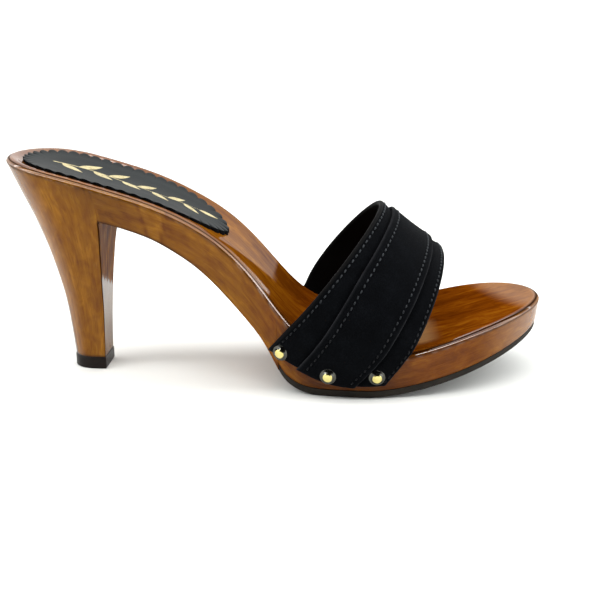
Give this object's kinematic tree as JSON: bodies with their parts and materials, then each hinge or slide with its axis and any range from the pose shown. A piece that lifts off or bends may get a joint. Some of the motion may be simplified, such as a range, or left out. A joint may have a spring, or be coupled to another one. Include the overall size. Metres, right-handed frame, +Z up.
{
  "type": "wooden-soled heeled mule",
  "caption": "High-heeled mule: carved wooden sole and tapered heel, a wide black nubuck strap nailed over the instep, a leather heel pad and a rubber forefoot sole.",
  "frame": {"origin": "on the floor, in the middle of the shoe's bounding box seen from above", "axes": "+X to the toe, +Y to the inner (medial) side of the foot, +Z up; the heel tip and the flat of the forefoot stand on z = 0"},
  "size_m": [0.222, 0.0888, 0.092],
  "materials": {
    "lacquered_wood": "stained honey brown, glossy lacquer",
    "rubber": "matt, dark brown to black",
    "nubuck": "black, napped, no gloss",
    "pad_leather": "black, smooth, soft sheen, pinked edge",
    "brass": "polished"
  },
  "bodies": {
    "root": {"wooden_sole": "lacquered_wood", "forefoot_outsole": "rubber", "heel_tip": "rubber", "insole_pad": "pad_leather", "upper_strap": "nubuck", "upper_band": "nubuck", "tack_lateral_rear": "brass", "tack_lateral_middle": "brass", "tack_lateral_front": "brass", "tack_medial_rear": "brass", "tack_medial_middle": "brass", "tack_medial_front": "brass"}
  },
  "joints": []
}
